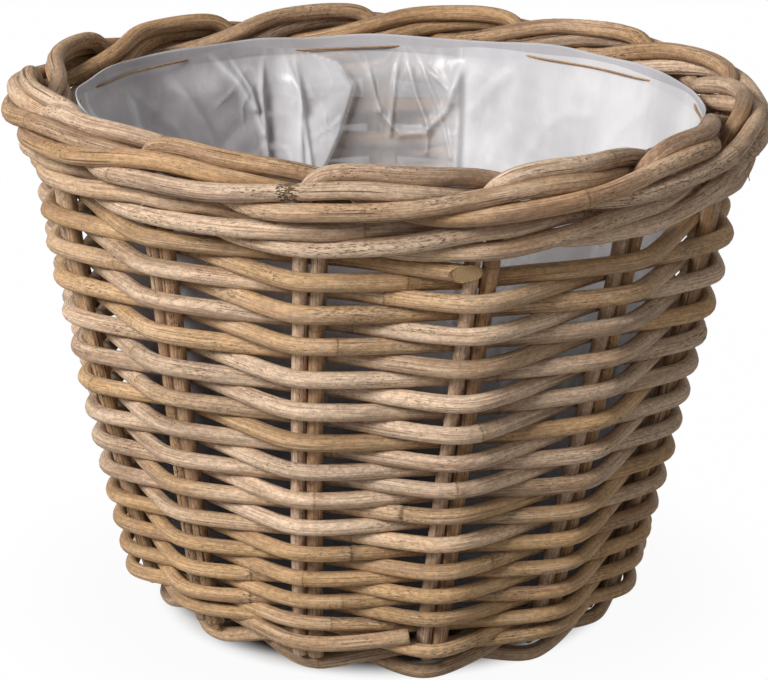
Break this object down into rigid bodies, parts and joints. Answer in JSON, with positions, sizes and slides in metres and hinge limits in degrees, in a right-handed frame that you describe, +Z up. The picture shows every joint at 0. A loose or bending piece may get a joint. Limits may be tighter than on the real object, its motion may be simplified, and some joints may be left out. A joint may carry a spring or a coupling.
{
  "type": "woven planter basket",
  "caption": "Round rattan planter that widens to its rim, plain-woven over paired stakes, with a rolled border, a twined foot and a sewn-in clear film liner.",
  "frame": {"origin": "centre of the foot, on the surface that the planter stands on", "axes": "+Z up along the planter's axis, -Y towards the viewer of the picture"},
  "size_m": [0.3978, 0.3987, 0.2898],
  "materials": {
    "stake_cane": "unvarnished grey-brown rattan core, fine lengthwise fibres, dark speckles",
    "weaver_cane": "unvarnished weathered rattan cane, matte, node rings and scars",
    "base_cane": "unvarnished rattan cane, matte",
    "thread": "twisted brown fibre",
    "clear_film": "clear polyethylene film, creased"
  },
  "bodies": {
    "root": {"stake_01": "stake_cane", "stake_02": "stake_cane", "stake_03": "stake_cane", "stake_04": "stake_cane", "stake_05": "stake_cane", "stake_06": "stake_cane", "stake_07": "stake_cane", "stake_08": "stake_cane", "stake_09": "stake_cane", "stake_10": "stake_cane", "stake_11": "stake_cane", "stake_12": "stake_cane", "stake_13": "stake_cane", "bye_stake_01": "stake_cane", "bye_stake_02": "stake_cane", "bye_stake_03": "stake_cane", "bye_stake_04": "stake_cane", "bye_stake_05": "stake_cane", "bye_stake_06": "stake_cane", "bye_stake_07": "stake_cane", "bye_stake_08": "stake_cane", "bye_stake_09": "stake_cane", "bye_stake_10": "stake_cane", "bye_stake_11": "stake_cane", "bye_stake_12": "stake_cane", "bye_stake_13": "stake_cane", "weaver_01": "weaver_cane", "weaver_02": "weaver_cane", "weaver_03": "weaver_cane", "weaver_04": "weaver_cane", "weaver_05": "weaver_cane", "weaver_06": "weaver_cane", "weaver_07": "weaver_cane", "weaver_08": "weaver_cane", "weaver_09": "weaver_cane", "weaver_10": "weaver_cane", "weaver_11": "weaver_cane", "weaver_12": "weaver_cane", "weaver_13": "weaver_cane", "weaver_14": "weaver_cane", "weaver_15": "weaver_cane", "weaver_16": "weaver_cane", "top_wale_rod_01": "weaver_cane", "top_wale_rod_02": "weaver_cane", "top_wale_rod_03": "weaver_cane", "foot_rod_01": "base_cane", "foot_rod_02": "base_cane", "base_stick_01": "base_cane", "base_stick_02": "base_cane", "base_stick_03": "base_cane", "base_stick_04": "base_cane", "base_stick_05": "base_cane", "base_stick_06": "base_cane", "base_short_stick": "base_cane", "base_weaver_01": "base_cane", "base_weaver_02": "base_cane", "base_tie": "base_cane", "liner_stitch": "thread", "liner": "clear_film"}
  },
  "joints": []
}
